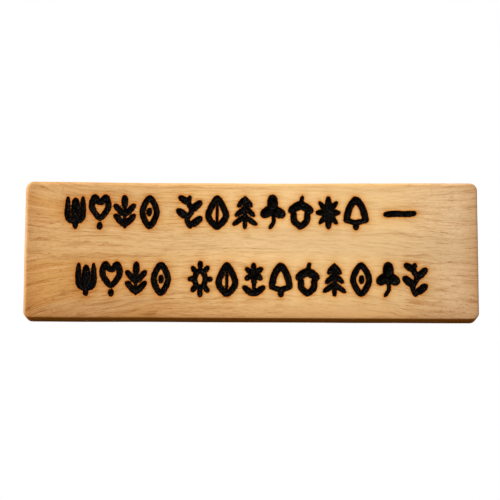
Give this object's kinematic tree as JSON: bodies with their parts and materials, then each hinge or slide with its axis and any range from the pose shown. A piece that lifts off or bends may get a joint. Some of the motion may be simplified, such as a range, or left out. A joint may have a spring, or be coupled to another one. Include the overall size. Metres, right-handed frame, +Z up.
{
  "type": "wall plaque",
  "caption": "Solid wooden wall plaque, a long low plank with rounded corners and two rows of burnt-in folk ornament, hung by a sawtooth hanger with corner bumpers behind",
  "frame": {"origin": "Middle of the bottom edge: centred along the length, centred in depth between the board's front face and the bumpers' wall faces, at the level of the surface that the plaque can stand on.", "axes": "X runs along the plaque's length, to the right as seen from the front. Y runs from the ornamented front to the back and the wall. Z is up, along the plaque's height."},
  "size_m": [0.3, 0.0234, 0.092],
  "materials": {
    "golden_wood": "satin",
    "plated_steel": "satin",
    "screw_steel": "satin",
    "bumper_rubber": "matte"
  },
  "bodies": {
    "root": {"board": "golden_wood", "sawtooth_hanger": "plated_steel", "hanger_screw_left": "screw_steel", "hanger_screw_right": "screw_steel", "bumper_top_left": "bumper_rubber", "bumper_top_right": "bumper_rubber", "bumper_bottom_left": "bumper_rubber", "bumper_bottom_right": "bumper_rubber"}
  },
  "joints": []
}
